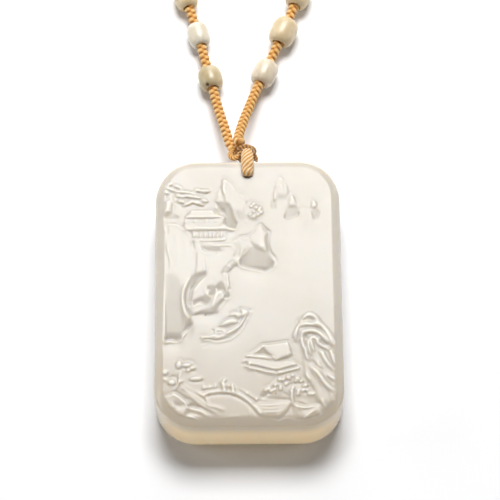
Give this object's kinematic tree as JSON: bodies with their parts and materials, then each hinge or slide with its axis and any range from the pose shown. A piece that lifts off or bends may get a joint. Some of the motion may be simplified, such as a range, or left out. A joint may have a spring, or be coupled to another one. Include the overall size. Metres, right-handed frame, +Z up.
{
  "type": "carved jade pendant plaque",
  "caption": "Flat white jade pendant plaque carved in low relief with a lakeside landscape, with a silk cord, a knot and barrel beads.",
  "frame": {"origin": "on the surface under the middle of the plaque's back, where it lies", "axes": "+Z up out of the carved face, +Y towards the end with the hanging hole and the cord, +X to the right across the face"},
  "size_m": [0.04, 0.1489, 0.013],
  "materials": {
    "white_jade": "satin",
    "bead_jade": "gloss",
    "golden_silk": "satin",
    "dark_silk": "matte"
  },
  "bodies": {
    "root": {"plaque": "white_jade", "hanging_loop": "golden_silk", "knot": "dark_silk", "cord_left": "golden_silk", "cord_right": "golden_silk", "cord_coil": "golden_silk", "bead_left_1": "bead_jade", "bead_left_2": "bead_jade", "bead_left_3": "bead_jade", "bead_right_1": "bead_jade", "bead_right_2": "bead_jade", "bead_right_3": "bead_jade"}
  },
  "joints": []
}
